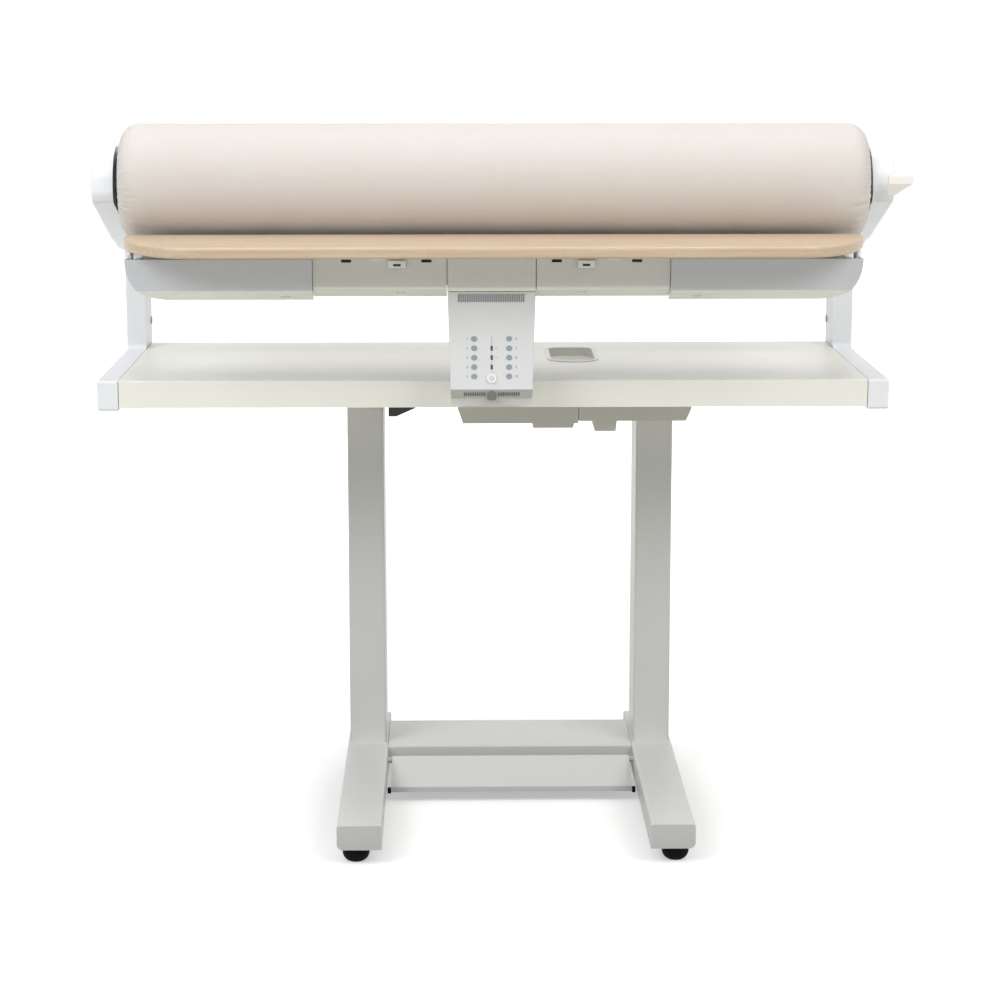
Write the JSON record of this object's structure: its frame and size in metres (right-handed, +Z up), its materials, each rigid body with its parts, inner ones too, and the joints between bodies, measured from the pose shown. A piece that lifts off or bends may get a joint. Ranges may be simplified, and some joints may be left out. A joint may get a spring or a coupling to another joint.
{
  "type": "flatwork ironer",
  "caption": "Free-standing flatwork ironer with a padded cotton roller, heated swing shoe, wooden feed board, shelf, control box, foot pedal and two-leg stand.",
  "frame": {"origin": "on the floor under the middle of the outer box", "axes": "+X to the user's right along the roller, +Y to the back, +Z up"},
  "size_m": [1.075, 0.5798, 0.961],
  "materials": {
    "shell_white": "satin cool white paint",
    "stand_white": "satin pale grey-white paint",
    "shelf_white": "satin creamy white paint",
    "cover_white": "fine matt white plastic",
    "cover_grey": "fine matt light grey plastic",
    "box_grey": "matt light grey plastic",
    "panel_grey": "smooth pale grey plastic",
    "under_grey": "matt pale grey plastic",
    "well_white": "pale plastic",
    "lever_white": "pale plastic",
    "power_white": "white plastic",
    "key_blue": "soft blue-grey",
    "lamp_lens": "dark lens",
    "clip_plastic": "translucent white",
    "end_plastic": "moulded",
    "gear_plastic": "moulded acetal",
    "tank_plastic": "blow moulded",
    "pump_black": "moulded",
    "gland_black": "moulded",
    "circuit_green": "lacquered",
    "beech": "clear varnished beech",
    "cotton": "plain woven cotton over felt",
    "black_rubber": "moulded rubber",
    "dark_steel": "primer",
    "bracket_steel": "white paint",
    "frame_steel": "grey paint",
    "shoe_cover_steel": "grey paint",
    "tube_steel": "drawn tube",
    "screw_steel": "zinc plated",
    "gear_steel": "machined",
    "motor_steel": "zinc plated",
    "heater_steel": "sheathed element",
    "shoe_aluminium": "polished",
    "cast_aluminium": "as cast"
  },
  "bodies": {
    "frame": {"foot_left": "stand_white", "foot_right": "stand_white", "leg_left": "stand_white", "leg_right": "stand_white", "base_plate": "stand_white", "rubber_feet": "black_rubber", "shelf_panel": "shelf_white", "side_frame_left": "shell_white", "side_frame_right": "shell_white", "arm_left": "shell_white", "arm_right": "shell_white", "arm_cap": "shell_white", "rear_tube": "shell_white", "side_rails": "shell_white", "front_beam": "dark_steel", "housing_left": "cover_white", "housing_right": "cover_white", "neck_cover": "cover_white", "end_cover_left": "cover_grey", "end_cover_right": "cover_grey", "screws": "screw_steel", "board_brackets": "bracket_steel", "board_clips": "clip_plastic", "feed_board": "beech", "control_box": "box_grey", "control_panel": "panel_grey", "circuit_board": "circuit_green", "indicator_lenses": "lamp_lens", "boiler_housing": "under_grey", "tank_housing": "under_grey", "steam_boiler": "cast_aluminium", "water_tank": "tank_plastic", "pump": "pump_black", "filler_well": "well_white", "cable_gland": "gland_black", "gearmotor": "motor_steel"},
    "roller": {"roller_tube": "tube_steel", "roller_cover": "cotton", "roller_ends": "end_plastic", "ring_gear": "gear_plastic"},
    "pinion": {"drive_pinion": "gear_steel"},
    "shoe": {"shoe_plate": "shoe_aluminium", "heating_element": "heater_steel", "shoe_cover": "shoe_cover_steel", "shoe_frame": "frame_steel"},
    "lever": {"release_lever": "lever_white"},
    "pedal": {"pedal_plate": "stand_white", "pedal_bumpers": "black_rubber"},
    "lid": {"filler_lid": "well_white"},
    "power_key": {"power_button": "power_white"},
    "key_1": {"button_1": "key_blue"},
    "key_2": {"button_2": "key_blue"},
    "key_3": {"button_3": "key_blue"},
    "key_4": {"button_4": "key_blue"},
    "key_5": {"button_5": "key_blue"},
    "key_6": {"button_6": "key_blue"},
    "key_7": {"button_7": "key_blue"},
    "key_8": {"button_8": "key_blue"},
    "key_9": {"button_9": "key_blue"},
    "key_10": {"button_10": "key_blue"}
  },
  "joints": [
    {"name": "roller_spin", "type": "hinge", "parent": "frame", "child": "roller", "pos_m": [-0.0105, -0.09, 0.884], "axis": [1, 0, 0], "continuous": true},
    {"name": "pinion_spin", "type": "hinge", "parent": "frame", "child": "pinion", "pos_m": [0.4285, -0.09, 0.842], "axis": [1, 0, 0], "continuous": true},
    {"name": "shoe_press", "type": "hinge", "parent": "frame", "child": "shoe", "pos_m": [-0.0105, 0.11, 0.889], "axis": [-1, 0, 0], "range_deg": [0, 3.2]},
    {"name": "lever_press", "type": "hinge", "parent": "frame", "child": "lever", "pos_m": [0.5165, -0.07, 0.88], "axis": [1, 0, 0], "range_deg": [0, 40]},
    {"name": "pedal_press", "type": "hinge", "parent": "frame", "child": "pedal", "pos_m": [0.0165, 0.075, 0.041], "axis": [1, 0, 0], "range_deg": [0, 5], "stiffness_Nm_per_rad": 10, "springref_deg": -6.88},
    {"name": "lid_flap", "type": "hinge", "parent": "frame", "child": "lid", "pos_m": [0.1195, 0.0838, 0.6166], "axis": [-1, 0, 0], "range_deg": [0, 100]},
    {"name": "power_push", "type": "slide", "parent": "frame", "child": "power_key", "axis": [0, 1, 0], "range_m": [0, 0.001], "stiffness_N_per_m": 600, "springref_m": -0.0006},
    {"name": "key_1_push", "type": "slide", "parent": "frame", "child": "key_1", "axis": [0, 1, 0], "range_m": [0, 0.001], "stiffness_N_per_m": 500, "springref_m": -0.0006},
    {"name": "key_2_push", "type": "slide", "parent": "frame", "child": "key_2", "axis": [0, 1, 0], "range_m": [0, 0.001], "stiffness_N_per_m": 500, "springref_m": -0.0006},
    {"name": "key_3_push", "type": "slide", "parent": "frame", "child": "key_3", "axis": [0, 1, 0], "range_m": [0, 0.001], "stiffness_N_per_m": 500, "springref_m": -0.0006},
    {"name": "key_4_push", "type": "slide", "parent": "frame", "child": "key_4", "axis": [0, 1, 0], "range_m": [0, 0.001], "stiffness_N_per_m": 500, "springref_m": -0.0006},
    {"name": "key_5_push", "type": "slide", "parent": "frame", "child": "key_5", "axis": [0, 1, 0], "range_m": [0, 0.001], "stiffness_N_per_m": 500, "springref_m": -0.0006},
    {"name": "key_6_push", "type": "slide", "parent": "frame", "child": "key_6", "axis": [0, 1, 0], "range_m": [0, 0.001], "stiffness_N_per_m": 500, "springref_m": -0.0006},
    {"name": "key_7_push", "type": "slide", "parent": "frame", "child": "key_7", "axis": [0, 1, 0], "range_m": [0, 0.001], "stiffness_N_per_m": 500, "springref_m": -0.0006},
    {"name": "key_8_push", "type": "slide", "parent": "frame", "child": "key_8", "axis": [0, 1, 0], "range_m": [0, 0.001], "stiffness_N_per_m": 500, "springref_m": -0.0006},
    {"name": "key_9_push", "type": "slide", "parent": "frame", "child": "key_9", "axis": [0, 1, 0], "range_m": [0, 0.001], "stiffness_N_per_m": 500, "springref_m": -0.0006},
    {"name": "key_10_push", "type": "slide", "parent": "frame", "child": "key_10", "axis": [0, 1, 0], "range_m": [0, 0.001], "stiffness_N_per_m": 500, "springref_m": -0.0006}
  ],
  "couplings": [
    {"joint": "pinion_spin", "follows": "roller_spin", "ratio": 4},
    {"joint": "lever_press", "follows": "shoe_press", "ratio": 12.5}
  ]
}
